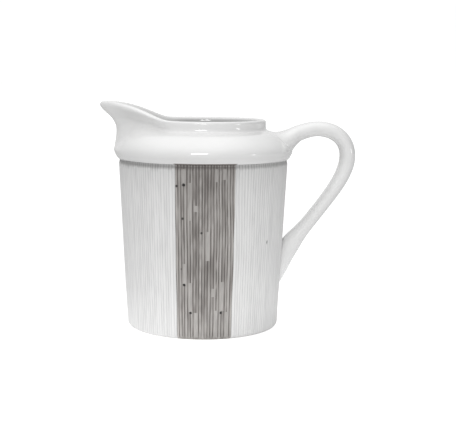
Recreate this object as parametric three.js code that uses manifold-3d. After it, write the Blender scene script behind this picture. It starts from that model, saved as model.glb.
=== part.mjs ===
// A porcelain cream jug: a tapering ribbed barrel under a smooth glazed shoulder, a pulled pouring spout
// on one side, a looped handle opposite it, and a grey lustre band down the front and the back.
//
// Millimetres, +Z up. The jug stands on z = 0 with its spout towards -X and its handle towards +X. The
// origin is below the middle of the whole outline, so the barrel's own axis lies a little towards -X.
// Every piece is drawn about the barrel's axis, and one group moves them all to their place.

import * as THREE from 'three';
import { mergeVertices } from 'three/addons/utils/BufferGeometryUtils.js';
import Module from 'manifold-3d';

const wasm = await Module();
wasm.setup();

// ---- Driving dimensions ------------------------------------------------------------------------------

const BARREL_AXIS_X = -10.48;        // from the origin, along X
const FIT_GAP = 0.3;                 // left between pieces that are shaped to each other
const ABOVE_JUG = 100;               // a height above every piece
const PAST_JUG = 200;                // the size of a block that reaches past the whole jug

const FOOT_HEIGHT = 2.2;
const FOOT_EDGE_RADIUS = 2.1;        // rounding of the bottom corner
const FOOT_INNER_RADIUS = 27.0;
const FOOT_INNER_BEVEL = 0.8;

const BARREL_FOOT_RADIUS = 31.7;     // outside, at the foot ring's top
const BARREL_TOP_RADIUS = 35.2;      // outside, under the collar
const BARREL_TOP_Z = 70.3;
const WALL_THICKNESS = 3.0;
const FLOOR_THICKNESS = 3.2;

const COLLAR_TOP_Z = 72.0;
const COLLAR_STEP = 0.1;             // how far the collar stands out from the barrel
const COLLAR_FLARE = 0.9;            // how far its top stands out from the barrel

const NECK_CUT_Z = 82.8;             // shoulder below, neck above
const SPOUT_CUT_Z = 76.4;            // shoulder below, spout above
const SPOUT_HALF_ANGLE = 56;         // degrees each side of -X
const SPOUT_RISE_START = 54;         // degrees from -X where the rim begins to climb
const SPOUT_RISE_END = 8;            // degrees from -X where it is fully up
const KEEL_ROUNDING = 5;             // degrees over which the spout's keel is rounded

const BAND_HALF_ANGLE = 19.7;        // degrees each side of the front and of the back
const BAND_THICKNESS = 0.6;
const POCKET_OPENING = 1.2;          // how far a band's pocket is cut past the barrel's outside

const HANDLE_HALF_WIDTH = 4.5;       // across, along Y
const HANDLE_SQUARENESS = 0.85;      // 1 is an ellipse, less is squarer
const ROOT_CUT_X = 37.6;             // root nearer the axis, bow beyond
const TERMINAL_CUT_Z = 37.4;         // bow above, lower terminal below

const ROUND_SEGMENTS = 72;
const CORNER_SEGMENTS = 4;
const BAND_SEGMENTS = 10;
const HANDLE_STEPS = 44;
const HANDLE_SIDES = 16;
const SPOUT_ZONE = 60;               // degrees from -X that are divided by the finer step
const FINE_STEP = 4;
const COARSE_STEP = 7.5;
const MERGE_DISTANCE = 1e-4;

// ---- Small helpers -----------------------------------------------------------------------------------

const radians = THREE.MathUtils.degToRad;
const clamp = THREE.MathUtils.clamp;

function withoutExtras(geometry) {
  geometry.deleteAttribute('normal');
  geometry.deleteAttribute('uv');
  return mergeVertices(geometry, MERGE_DISTANCE);
}

function toSolid(geometry) {
  const merged = withoutExtras(geometry);
  return new wasm.Manifold(new wasm.Mesh({
    numProp: 3,
    vertProperties: merged.attributes.position.array,
    triVerts: new Uint32Array(merged.index.array),
  }));
}

function toGeometry(solid) {
  const mesh = solid.getMesh();
  const geometry = new THREE.BufferGeometry();
  geometry.setAttribute('position', new THREE.BufferAttribute(mesh.vertProperties, 3));
  geometry.setIndex(new THREE.BufferAttribute(mesh.triVerts, 1));
  geometry.computeVertexNormals();
  return geometry;
}

// Turns a profile of [radius, height] points, anticlockwise as seen with +Z up, about the barrel's axis.
function turned(profile) {
  const points = profile.map(([radius, height]) => new THREE.Vector2(radius, height));
  return new THREE.LatheGeometry(points, ROUND_SEGMENTS).rotateX(Math.PI / 2);
}

function ring(profile) {
  return turned([...profile, profile[0]]);
}

// Points on a circular arc, from one angle to another in degrees.
function arc(centreRadius, centreZ, radius, from, to) {
  return Array.from({ length: CORNER_SEGMENTS + 1 }, (_, i) => {
    const angle = radians(from + (to - from) * i / CORNER_SEGMENTS);
    return [centreRadius + radius * Math.cos(angle), centreZ + radius * Math.sin(angle)];
  });
}

// A closed skin through rows of points. Each row is a loop that runs anticlockwise when you look along the
// rows, from the first to the last. The rows either close on themselves or end in flat caps.
function skin(rows, closesOnItself) {
  const perRow = rows[0].length;
  const positions = rows.flat().flatMap((point) => [point.x, point.y, point.z]);
  const indices = [];
  const stretches = closesOnItself ? rows.length : rows.length - 1;
  for (let i = 0; i < stretches; i += 1) {
    const here = i * perRow;
    const next = ((i + 1) % rows.length) * perRow;
    for (let j = 0; j < perRow; j += 1) {
      const k = (j + 1) % perRow;
      indices.push(here + j, next + j, here + k);
      indices.push(here + k, next + j, next + k);
    }
  }
  if (!closesOnItself) {
    const last = (rows.length - 1) * perRow;
    for (let j = 1; j < perRow - 1; j += 1) {
      indices.push(0, j, j + 1);
      indices.push(last, last + j + 1, last + j);
    }
  }
  const geometry = new THREE.BufferGeometry();
  geometry.setAttribute('position', new THREE.Float32BufferAttribute(positions, 3));
  geometry.setIndex(indices);
  return geometry;
}

// A slab between two angles, two heights and two radii, where each radius may depend on the height.
function curvedSlab(fromAngle, toAngle, fromZ, toZ, innerRadiusAt, outerRadiusAt) {
  const rows = Array.from({ length: BAND_SEGMENTS + 1 }, (_, i) => {
    const angle = radians(fromAngle + (toAngle - fromAngle) * i / BAND_SEGMENTS);
    const corner = (radius, z) => new THREE.Vector3(radius * Math.cos(angle), radius * Math.sin(angle), z);
    return [
      corner(innerRadiusAt(fromZ), fromZ),
      corner(outerRadiusAt(fromZ), fromZ),
      corner(outerRadiusAt(toZ), toZ),
      corner(innerRadiusAt(toZ), toZ),
    ];
  });
  return skin(rows, false);
}

// ---- Barrel, foot, floor and collar ------------------------------------------------------------------

function barrelRadiusAt(z) {
  const share = (z - FOOT_HEIGHT) / (BARREL_TOP_Z - FOOT_HEIGHT);
  return THREE.MathUtils.lerp(BARREL_FOOT_RADIUS, BARREL_TOP_RADIUS, share);
}

function footRing() {
  const edgeCentre = BARREL_FOOT_RADIUS - FOOT_EDGE_RADIUS;
  return ring([
    [FOOT_INNER_RADIUS + FOOT_INNER_BEVEL, 0],
    ...arc(edgeCentre, FOOT_EDGE_RADIUS, FOOT_EDGE_RADIUS, -90, 0),
    [BARREL_FOOT_RADIUS, FOOT_HEIGHT],
    [FOOT_INNER_RADIUS, FOOT_HEIGHT],
    [FOOT_INNER_RADIUS, FOOT_INNER_BEVEL],
  ]);
}

function floorDisc() {
  const radius = BARREL_FOOT_RADIUS - WALL_THICKNESS - FIT_GAP;
  const top = FOOT_HEIGHT + FLOOR_THICKNESS;
  return turned([[0, FOOT_HEIGHT], [radius, FOOT_HEIGHT], [radius, top], [0, top]]);
}

// A band, or the pocket for one: the band with a gap behind and beside it, open to the outside.
function bandSlab(centreAngle, gap, opening) {
  const halfAngle = BAND_HALF_ANGLE + THREE.MathUtils.radToDeg(gap / BARREL_TOP_RADIUS);
  return curvedSlab(
    centreAngle - halfAngle,
    centreAngle + halfAngle,
    FOOT_HEIGHT,
    BARREL_TOP_Z,
    (z) => barrelRadiusAt(z) - BAND_THICKNESS - gap,
    (z) => barrelRadiusAt(z) + opening,
  );
}

function band(centreAngle) {
  return bandSlab(centreAngle, 0, 0);
}

function bandPocket(centreAngle) {
  return toSolid(bandSlab(centreAngle, FIT_GAP, POCKET_OPENING));
}

function bodyWall() {
  const wall = ring([
    [BARREL_FOOT_RADIUS - WALL_THICKNESS, FOOT_HEIGHT],
    [BARREL_FOOT_RADIUS, FOOT_HEIGHT],
    [BARREL_TOP_RADIUS, BARREL_TOP_Z],
    [BARREL_TOP_RADIUS - WALL_THICKNESS, BARREL_TOP_Z],
  ]);
  return toGeometry(toSolid(wall).subtract(bandPocket(-90)).subtract(bandPocket(90)));
}

function collar() {
  const inner = BARREL_TOP_RADIUS - WALL_THICKNESS;
  return ring([
    [inner, BARREL_TOP_Z],
    [BARREL_TOP_RADIUS + COLLAR_STEP, BARREL_TOP_Z],
    [BARREL_TOP_RADIUS + COLLAR_FLARE, COLLAR_TOP_Z],
    [inner, COLLAR_TOP_Z],
  ]);
}

// ---- Shoulder, neck and spout ------------------------------------------------------------------------

// The section of the upper shell, from the collar up the outside, over the lip and down the inside.
// Each entry is [radius, height] on the plain round part and [distance, height] along the spout's keel.
const SHELL_SECTION = [
  { plain: [36.1, 72.0], keel: [36.1, 72.0] },
  { plain: [36.8, 72.8], keel: [36.8, 72.8] },
  { plain: [37.3, 74.2], keel: [37.1, 74.2] },
  { plain: [36.9, 75.7], keel: [36.9, 76.0] },
  { plain: [35.5, 77.4], keel: [36.3, 78.5] },
  { plain: [33.1, 79.3], keel: [36.1, 81.0] },
  { plain: [30.4, 80.9], keel: [36.1, 82.8] },
  { plain: [28.0, 81.9], keel: [36.5, 84.2] },
  { plain: [26.2, 82.6], keel: [37.3, 85.8] },
  { plain: [25.7, 83.9], keel: [38.7, 87.5] },
  { plain: [26.0, 85.5], keel: [41.7, 90.3] },
  { plain: [25.8, 86.2], keel: [42.7, 92.4] },
  { plain: [25.0, 86.6], keel: [41.6, 93.8] },
  { plain: [23.9, 86.1], keel: [39.7, 93.0] },
  { plain: [23.4, 85.1], keel: [38.0, 91.3] },
  { plain: [23.4, 83.6], keel: [35.6, 88.4] },
  { plain: [24.5, 81.3], keel: [33.8, 85.4] },
  { plain: [27.2, 79.6], keel: [33.1, 82.4] },
  { plain: [30.7, 77.5], keel: [33.0, 79.0] },
  { plain: [33.3, 75.5], keel: [33.6, 76.2] },
  { plain: [34.2, 74.0], keel: [34.1, 74.4] },
  { plain: [33.4, 72.8], keel: [33.4, 72.8] },
  { plain: [32.2, 72.0], keel: [32.2, 72.0] },
];
const NECK_ENTRY = 8;                // the section's entry at the foot of the neck

// How far up the rim has climbed, 0 to 1, at an angle from the spout in degrees.
function spoutRise(angle) {
  const share = clamp((SPOUT_RISE_START - Math.abs(angle)) / (SPOUT_RISE_START - SPOUT_RISE_END), 0, 1);
  const eased = share * share * (3 - 2 * share);
  return (share + eased) / 2;
}

// Distance from the axis. Seen from above, the spout's two flanks leave the round neck along its
// tangents and meet in a rounded keel.
function shellRadius(entry, angle) {
  const round = entry.plain[0];
  const reach = Math.max(entry.keel[0], round);
  const tangentAngle = Math.acos(round / reach);
  const rounded = Math.hypot(angle, KEEL_ROUNDING) - KEEL_ROUNDING;
  return round / Math.cos(Math.max(0, tangentAngle - radians(rounded)));
}

function shellPoint(entry, angle) {
  const radius = shellRadius(entry, angle);
  const height = THREE.MathUtils.lerp(entry.plain[1], entry.keel[1], spoutRise(angle));
  const turn = Math.PI + radians(angle);
  return new THREE.Vector3(radius * Math.cos(turn), radius * Math.sin(turn), height);
}

// Angles from the spout in degrees, closer together where the spout bends the shell.
function shellAngles() {
  const angles = [];
  for (let angle = -SPOUT_ZONE; angle <= SPOUT_ZONE; angle += FINE_STEP) {
    angles.push(angle);
  }
  for (let angle = SPOUT_ZONE + COARSE_STEP; angle < 360 - SPOUT_ZONE; angle += COARSE_STEP) {
    angles.push(angle > 180 ? angle - 360 : angle);
  }
  return angles;
}

function upperShell() {
  const rows = shellAngles().map((angle) => SHELL_SECTION.map((entry) => shellPoint(entry, angle)));
  return toSolid(skin(rows, true));
}

// The block that holds the spout, or with the gap round it, the block that its neighbours keep out of.
function spoutBlock(gap) {
  const halfAngle = radians(SPOUT_HALF_ANGLE);
  const apex = gap / Math.sin(halfAngle);
  const sideX = apex - PAST_JUG * Math.cos(halfAngle);
  const sideY = PAST_JUG * Math.sin(halfAngle);
  const wedge = new THREE.Shape([
    new THREE.Vector2(apex, 0),
    new THREE.Vector2(sideX, sideY),
    new THREE.Vector2(sideX, -sideY),
  ]);
  const block = new THREE.ExtrudeGeometry(wedge, { depth: ABOVE_JUG, bevelEnabled: false });
  return toSolid(block.translate(0, 0, SPOUT_CUT_Z - gap));
}

function blockBetween(lowZ, highZ) {
  const block = new THREE.BoxGeometry(PAST_JUG, PAST_JUG, highZ - lowZ);
  return toSolid(block.translate(0, 0, (lowZ + highZ) / 2));
}

const wholeShell = upperShell();
const shellBesideSpout = wholeShell.subtract(spoutBlock(FIT_GAP));

function shoulder() {
  return toGeometry(shellBesideSpout.intersect(blockBetween(0, NECK_CUT_Z)));
}

function neckRim() {
  return toGeometry(shellBesideSpout.intersect(blockBetween(NECK_CUT_Z, ABOVE_JUG)));
}

function spout() {
  return toGeometry(wholeShell.intersect(spoutBlock(0)));
}

// ---- Handle ------------------------------------------------------------------------------------------

// The handle's middle line in the plane Y = 0, with half its thickness in that plane and half its width
// across it, from inside the shoulder, over the bow and down to the tip that lies on the barrel.
const HANDLE_LINE = [
  { at: [29.2, 76.6], thick: 6.0, wide: 12.0 },
  { at: [33.0, 77.6], thick: 5.2, wide: 9.0 },
  { at: [36.4, 79.1], thick: 4.0, wide: 6.2 },
  { at: [40.1, 81.2], thick: 3.3, wide: 4.8 },
  { at: [44.4, 82.5], thick: 3.1, wide: HANDLE_HALF_WIDTH },
  { at: [48.8, 82.8], thick: 3.1, wide: HANDLE_HALF_WIDTH },
  { at: [53.8, 81.6], thick: 3.2, wide: HANDLE_HALF_WIDTH },
  { at: [57.8, 78.6], thick: 3.2, wide: HANDLE_HALF_WIDTH },
  { at: [60.0, 74.3], thick: 3.25, wide: HANDLE_HALF_WIDTH },
  { at: [60.3, 70.2], thick: 3.3, wide: HANDLE_HALF_WIDTH },
  { at: [59.2, 65.6], thick: 3.2, wide: HANDLE_HALF_WIDTH },
  { at: [56.7, 60.3], thick: 3.05, wide: HANDLE_HALF_WIDTH },
  { at: [51.8, 53.1], thick: 2.85, wide: HANDLE_HALF_WIDTH },
  { at: [43.8, 42.8], thick: 2.85, wide: 4.6 },
  { at: [40.4, 38.6], thick: 3.1, wide: 4.8 },
  { at: [37.2, 34.9], thick: 4.3, wide: 5.0 },
  { at: [34.4, 29.6], thick: 3.8, wide: 5.0 },
  { at: [32.8, 24.0], thick: 2.9, wide: 4.7 },
  { at: [32.0, 19.6], thick: 1.7, wide: 3.6 },
  { at: [31.4, 17.6], thick: 0.6, wide: 1.8 },
];

function handleCurve() {
  return new THREE.CatmullRomCurve3(
    HANDLE_LINE.map(({ at }) => new THREE.Vector3(at[0], 0, at[1])),
    false,
    'centripetal',
  );
}

// A value of the middle line's entries, at a share of the way along them.
function alongHandle(key, share) {
  const place = share * (HANDLE_LINE.length - 1);
  const from = Math.min(Math.floor(place), HANDLE_LINE.length - 2);
  return THREE.MathUtils.lerp(HANDLE_LINE[from][key], HANDLE_LINE[from + 1][key], place - from);
}

function roundedPower(value) {
  return Math.sign(value) * Math.abs(value) ** HANDLE_SQUARENESS;
}

function handleLoft() {
  const curve = handleCurve();
  const rows = Array.from({ length: HANDLE_STEPS + 1 }, (_, i) => {
    const share = i / HANDLE_STEPS;
    const centre = curve.getPoint(share);
    const along = curve.getTangent(share);
    const outwards = new THREE.Vector3(-along.z, 0, along.x);
    const thick = alongHandle('thick', share);
    const wide = alongHandle('wide', share);
    return Array.from({ length: HANDLE_SIDES }, (__, j) => {
      const angle = 2 * Math.PI * j / HANDLE_SIDES;
      const point = centre.clone();
      point.addScaledVector(outwards, thick * roundedPower(Math.cos(angle)));
      point.y += wide * roundedPower(Math.sin(angle));
      return point;
    });
  });
  return toSolid(skin(rows, false));
}

// The jug's body with the fitting gap round it, filled solid, which the handle keeps out of.
function bodyEnvelope() {
  const shoulderEntries = SHELL_SECTION.slice(0, NECK_ENTRY + 1);
  const shoulderOutside = shoulderEntries.map(({ plain }) => [plain[0] + FIT_GAP, plain[1] + FIT_GAP]);
  const neckRadius = SHELL_SECTION[NECK_ENTRY].plain[0];
  return toSolid(turned([
    [0, FOOT_HEIGHT],
    [BARREL_FOOT_RADIUS + FIT_GAP, FOOT_HEIGHT],
    [BARREL_TOP_RADIUS + FIT_GAP, BARREL_TOP_Z],
    [BARREL_TOP_RADIUS + COLLAR_STEP + FIT_GAP, BARREL_TOP_Z],
    ...shoulderOutside,
    [neckRadius, ABOVE_JUG],
    [0, ABOVE_JUG],
  ]));
}

function blockBeyondX(x) {
  const block = new THREE.BoxGeometry(PAST_JUG, PAST_JUG, PAST_JUG);
  return toSolid(block.translate(x + PAST_JUG / 2, 0, 0));
}

const wholeHandle = handleLoft().subtract(bodyEnvelope());
const rootBlock = blockBetween(BARREL_TOP_Z, ABOVE_JUG).subtract(blockBeyondX(ROOT_CUT_X));
const terminalBlock = blockBetween(0, TERMINAL_CUT_Z);

function handleUpperRoot() {
  return toGeometry(wholeHandle.intersect(rootBlock));
}

function handleBow() {
  return toGeometry(wholeHandle.subtract(rootBlock).subtract(terminalBlock));
}

function handleLowerTerminal() {
  return toGeometry(wholeHandle.intersect(terminalBlock));
}

// ---- Materials and assembly --------------------------------------------------------------------------

function glazedPorcelain() {
  return new THREE.MeshStandardMaterial({ color: 0xefefee, roughness: 0.12, metalness: 0 });
}

function satinPorcelain() {
  return new THREE.MeshStandardMaterial({ color: 0xe2e2e1, roughness: 0.42, metalness: 0 });
}

function barePorcelain() {
  return new THREE.MeshStandardMaterial({ color: 0xdcd9d3, roughness: 0.8, metalness: 0 });
}

function greyLustre() {
  return new THREE.MeshStandardMaterial({ color: 0x96918c, roughness: 0.38, metalness: 0.25 });
}

const PIECES = [
  ['foot_ring', footRing(), barePorcelain()],
  ['floor_disc', floorDisc(), glazedPorcelain()],
  ['body_wall', bodyWall(), satinPorcelain()],
  ['front_band', band(-90), greyLustre()],
  ['back_band', band(90), greyLustre()],
  ['collar', collar(), glazedPorcelain()],
  ['shoulder', shoulder(), glazedPorcelain()],
  ['neck_rim', neckRim(), glazedPorcelain()],
  ['spout', spout(), glazedPorcelain()],
  ['handle_upper_root', handleUpperRoot(), glazedPorcelain()],
  ['handle_bow', handleBow(), glazedPorcelain()],
  ['handle_lower_terminal', handleLowerTerminal(), glazedPorcelain()],
];

const jug = new THREE.Group();
const vessel = new THREE.Group();
vessel.position.x = BARREL_AXIS_X;
jug.add(vessel);

for (const [name, geometry, material] of PIECES) {
  const mesh = new THREE.Mesh(geometry, material);
  mesh.name = name;
  vessel.add(mesh);
}

export default jug;
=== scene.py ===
"""A porcelain cream jug's looks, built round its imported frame.

The shapes are worked out in millimetres about the barrel's own axis, and go to metres and to the frame's
origin when a mesh is made. The spout is on the -X side, the handle on +X, and the front band on -Y.
"""
import math

import bpy
import numpy as np
from mathutils import Matrix, Vector


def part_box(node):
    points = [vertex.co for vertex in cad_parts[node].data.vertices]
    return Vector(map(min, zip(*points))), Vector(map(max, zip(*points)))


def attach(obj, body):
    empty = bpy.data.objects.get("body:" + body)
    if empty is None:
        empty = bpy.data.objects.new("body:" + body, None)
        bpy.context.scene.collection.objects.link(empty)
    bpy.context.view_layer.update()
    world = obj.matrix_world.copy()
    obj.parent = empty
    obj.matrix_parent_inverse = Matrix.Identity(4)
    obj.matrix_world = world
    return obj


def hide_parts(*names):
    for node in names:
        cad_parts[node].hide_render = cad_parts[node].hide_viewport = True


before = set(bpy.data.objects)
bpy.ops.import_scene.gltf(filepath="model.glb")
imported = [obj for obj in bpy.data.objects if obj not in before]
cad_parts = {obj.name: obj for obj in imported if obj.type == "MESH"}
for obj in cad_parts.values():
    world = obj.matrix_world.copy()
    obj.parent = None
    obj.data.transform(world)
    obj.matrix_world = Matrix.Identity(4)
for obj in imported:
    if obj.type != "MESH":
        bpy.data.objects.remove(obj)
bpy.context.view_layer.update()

rng = np.random.default_rng(7)

# ---- Sizes that come from the frame, in millimetres --------------------------------------------------

MM = 0.001


def box_mm(node):
    low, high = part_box(node)
    return np.array(low) / MM, np.array(high) / MM


WALL_LOW, WALL_HIGH = box_mm("body_wall")
FOOT_LOW, FOOT_HIGH = box_mm("foot_ring")
AXIS_X = (WALL_LOW[0] + WALL_HIGH[0]) / 2
BARREL_TOP_RADIUS = (WALL_HIGH[0] - WALL_LOW[0]) / 2
BARREL_TOP_Z = WALL_HIGH[2]
FOOT_RADIUS = (FOOT_HIGH[0] - FOOT_LOW[0]) / 2
FOOT_HEIGHT = FOOT_HIGH[2]

# ---- Driving dimensions, in millimetres and degrees --------------------------------------------------

WALL_THICKNESS = 3.0
FOOT_EDGE_RADIUS = 2.1
CORNER_ROWS = 8              # from the glaze line to the end of the foot's rounding
GLAZE_LINE_Z = 0.35          # below this the foot is bare
SHARP_ANGLE = 50             # edges sharper than this stay crisp on the pieces that get no normals

BAND_HALF_ANGLE = 19.7
BAND_BOW = 0.25
BAND_RIPPLE = 0.12
BAND_RIPPLE_LENGTH = 3.7
BAND_THICKNESS = 0.6
BAND_EDGE_SHARE = 0.02       # the relief dies out over this share of the band's half width
WALL_EDGE_ANGLE = 0.4        # and over this many degrees of the wall beside it
BAND_COLUMNS = 264
BAND_ROW_STEP = 0.75
WALL_COLUMNS = 250           # from a band's edge to the plane of the spout and handle
POCKET_COLUMNS = 12          # behind a band
WALL_ROW_STEP = 1.05
LINING_EVERY = 6             # the inside has one column or row for this many outside

RIB_PITCH = 2.0              # degrees
OUTERMOST_GROOVE = 45        # grooves are counted from the middle of the band
RIB_STEP = (-0.15, 0.15)     # degrees about a groove's middle over which one rib's tone gives way
PLANK_EDGE = (0.6, 0.9)      # pitches from a plank's middle over which it ends
GROOVE_WIDTH = 0.40          # degrees from a groove's middle to where it has mostly faded
GROOVE_START_Z = (0.2, 2.2)  # the grooves come in over this height
BAND_GROOVE_DEPTH = 0.16
WALL_GROOVE_DEPTH = 0.10
COVE_HEIGHT = 2.2            # the shadow gap under the collar
COVE_DEPTH = 0.35
COVE_SHARE = 0.8             # of its height, over which it gets deeper
COVE_ROWS = 20

RIB_LIGHTNESS = 0.62         # 0 is the bottom of a groove and 1 the palest paint
RIB_CONTRAST = 0.25
PLANK_LIGHTNESS = 0.71
COLLAR_SHADE_DEPTH = 0.8             # painted shade under the collar is darkest this far below it
COLLAR_SHADE_REACH = 1.25
COLLAR_SHADE_UNEVENNESS = 0.3        # from rib to rib
COLLAR_SHADE_STRENGTH = 0.72
COLLAR_SHADE_IN_GROOVES = 0.3        # added where there is a groove
COLLAR_SHADE_LEAN = 0.12             # taken off towards the handle and added towards the spout
COLLAR_SHADE_LEAN_ANGLE = 25
COLLAR_SHADE_TAIL = 0.26             # the part of the painted shade that fades out slowly down the wall
COLLAR_SHADE_TAIL_REACH = 9.0
HIGHLIGHT_LINE_DEPTH = 0.45            # a thin painted highlight line crosses the band's painted shade
HIGHLIGHT_LINE_HALF_WIDTH = 0.2
HIGHLIGHT_LINE_STRENGTH = 0.5

SPOUT_HALF_ANGLE = 56
SPOUT_RISE_START = 54
SPOUT_RISE_END = 8
SPOUT_RISE_EASE = 0.1        # rounds the corner where the rise starts
KEEL_ROUNDING = 5
FLANK_EASE = 7               # degrees over which the flanks leave the round neck
TANGENT_FADE = 6             # they count in full where they reach at least this far round
FLANK_FADE = (4, 18)         # degrees from the keel over which the flank's roll and hollow come in
FLANK_END = (37, 62)         # and over which they go out
ROLL_OUT = 0.9               # how far the spout's rim rolls out beyond its flanks
ROLL_SPAN = 15.2             # where that is along the shell's section
HOLLOW_DEPTH = 1.3           # and how deep the hollow under it is
HOLLOW_SPAN = 12.6
HOLLOW_HALF_SPANS = 1.3
FOLD_ANGLE = 15              # a soft fold runs down each side of the spout's keel
FOLD_WIDTH = 8
FOLD_DEPTH = 0.9
FOLD_MIDDLE_SPAN = 9.6       # where the fold is deepest along the shell's section
FOLD_HALF_SPANS = 4.0
FOLD_END_STEEPNESS = 1.5

ROWS_PER_SPAN = 6
FINE_HALF_ANGLE = 60         # the columns are this fine this far to either side of the spout
FINE_STEP = 0.75
COARSE_STEP = 1.5

# ---- Maths helpers -----------------------------------------------------------------------------------


def smooth_step(share):
    share = np.clip(share, 0, 1)
    return share * share * (3 - 2 * share)


def ease_between(values, limits):
    """0 up to the first limit and 1 from the second."""
    start, end = limits
    return smooth_step((values - start) / (end - start))


def b_spline(controls, per_span):
    """Points on a uniform cubic B-spline that starts and ends on the first and last control."""
    inner = np.asarray(controls, float)
    padded = np.vstack([2 * inner[0] - inner[1], inner, 2 * inner[-1] - inner[-2]])
    spans = len(inner) - 1
    places = np.arange(spans * per_span + 1) / per_span
    first = np.minimum(places.astype(int), spans - 1)
    t = (places - first)[:, None]
    weights = (
        (1 - t) ** 3 / 6,
        (3 * t**3 - 6 * t**2 + 4) / 6,
        (-3 * t**3 + 3 * t**2 + 3 * t + 1) / 6,
        t**3 / 6,
    )
    return sum(weight * padded[first + k] for k, weight in enumerate(weights))


def grid_normals(grid, wrap_rows=False, wrap_columns=False):
    """Unit normals of a (columns, rows, 3) grid of points, by central differences."""

    def slope(axis, wrap):
        if wrap:
            return np.roll(grid, -1, axis) - np.roll(grid, 1, axis)
        return np.gradient(grid, axis=axis)

    normals = np.cross(slope(0, wrap_columns), slope(1, wrap_rows))
    lengths = np.linalg.norm(normals, axis=2, keepdims=True)
    return normals / np.maximum(lengths, 1e-12)


# ---- Mesh helpers ------------------------------------------------------------------------------------


def make_piece(name, points, faces, normals=None, layers=None):
    """A mesh object from millimetre points about the barrel's axis, with optional vertex values."""
    placed = (np.asarray(points) + [AXIS_X, 0, 0]) * MM
    mesh = bpy.data.meshes.new(name)
    mesh.from_pydata(placed.tolist(), [], [list(face) for face in faces])
    mesh.validate()
    mesh.shade_smooth()
    for layer, values in (layers or {}).items():
        attribute = mesh.attributes.new(layer, "FLOAT", "POINT")
        attribute.data.foreach_set("value", np.asarray(values, np.float32).ravel())
    if normals is None:
        mesh.set_sharp_from_angle(angle=math.radians(SHARP_ANGLE))
    else:
        mesh.normals_split_custom_set_from_vertices(np.asarray(normals).reshape(-1, 3).tolist())
    piece = bpy.data.objects.new(name, mesh)
    bpy.context.scene.collection.objects.link(piece)
    return piece


def slab_faces(cells):
    """Faces of a ring-shaped slab over a (columns, rows) mask of cells, outer points first and inner after.

    Outer faces, inner faces turned over, and a wall wherever a cell has no neighbour. The two skins meet in
    the last row of points, so no wall is made there.
    """
    columns, rows = cells.shape
    per_column = rows + 1
    inner_start = columns * per_column

    def outer(column, row):
        return column % columns * per_column + row

    def inner(column, row):
        if row == rows:
            return outer(column, row)
        return inner_start + outer(column, row)

    def filled(column, row):
        return 0 <= row < rows and cells[column % columns, row]

    def wall(a, b):
        loop = [outer(*b), outer(*a), inner(*a), inner(*b)]
        return list(dict.fromkeys(loop))

    faces = []
    for column, row in zip(*np.nonzero(cells)):
        column, row = int(column), int(row)
        corners = [(column, row), (column + 1, row), (column + 1, row + 1), (column, row + 1)]
        faces.append([outer(*corner) for corner in corners])
        faces.append(list(dict.fromkeys(inner(*corner) for corner in reversed(corners))))
        neighbours = [(column, row - 1), (column + 1, row), (column, row + 1), (column - 1, row)]
        for side, neighbour in enumerate(neighbours):
            at_shared_edge = side == 2 and row == rows - 1
            if not filled(*neighbour) and not at_shared_edge:
                faces.append(wall(corners[side], corners[(side + 1) % 4]))
    return faces


def slab_piece(name, outer, inner, cells, normals, layers):
    """A closed piece between two (columns, rows, 3) grids, over the mask of cells that belong to it.

    Normals and each layer have values for the outer skin, then for the inner.
    """
    faces = slab_faces(cells)
    points = np.concatenate([outer.reshape(-1, 3), inner.reshape(-1, 3)])
    used = np.unique(np.concatenate([np.asarray(face) for face in faces]))
    renumber = np.full(len(points), -1)
    renumber[used] = np.arange(len(used))
    faces = [[int(renumber[i]) for i in face] for face in faces]
    kept_normals = np.concatenate([skin.reshape(-1, 3) for skin in normals])[used]
    kept_layers = {
        layer: np.concatenate([skin.ravel() for skin in skins])[used] for layer, skins in layers.items()
    }
    return make_piece(name, points[used], faces, kept_normals, kept_layers)


def lining_lines(count):
    """The outer columns or rows that the lining has too, from the first to the last."""
    return sorted({*range(0, count, LINING_EVERY), count - 1})


def sheet_piece(name, outer, inner, wrap, layers):
    """A closed piece with a fine (columns, rows, 3) outside and a coarse lining taken from the inner grid."""
    columns, rows = outer.shape[:2]
    lining_rows = lining_lines(rows)
    lining_columns = list(range(0, columns, LINING_EVERY)) if wrap else lining_lines(columns)
    start = columns * rows
    inside = {}
    for column in lining_columns:
        for row in lining_rows:
            inside[column, row] = start + len(inside)
    lining = [inner[column, row] for column, row in inside]

    def outside(column, row):
        return column % columns * rows + row

    faces = []
    for column in range(columns if wrap else columns - 1):
        for row in range(rows - 1):
            faces.append([
                outside(column, row), outside(column + 1, row),
                outside(column + 1, row + 1), outside(column, row + 1),
            ])
    following = lining_columns[1:] + ([columns] if wrap else [])
    for column, beside in zip(lining_columns, following):
        for row, above in zip(lining_rows, lining_rows[1:]):
            faces.append([
                inside[column, row], inside[column, above],
                inside[beside % columns, above], inside[beside % columns, row],
            ])
        stretch = range(column, beside + 1)
        bottom = [outside(c, 0) for c in reversed(stretch)]
        faces.append(bottom + [inside[column, 0], inside[beside % columns, 0]])
        top = [outside(c, rows - 1) for c in stretch]
        faces.append(top + [inside[beside % columns, rows - 1], inside[column, rows - 1]])
    if not wrap:
        last = columns - 1
        for row, above in zip(lining_rows, lining_rows[1:]):
            stretch = range(row, above + 1)
            first_side = [outside(0, r) for r in stretch]
            faces.append(first_side + [inside[0, above], inside[0, row]])
            last_side = [outside(last, r) for r in reversed(stretch)]
            faces.append(last_side + [inside[last, row], inside[last, above]])
    points = np.concatenate([outer.reshape(-1, 3), np.array(lining)])
    padded = {
        layer: np.concatenate([values.ravel(), np.zeros(len(lining))]) for layer, values in layers.items()
    }
    return make_piece(name, points, faces, layers=padded)


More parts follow.
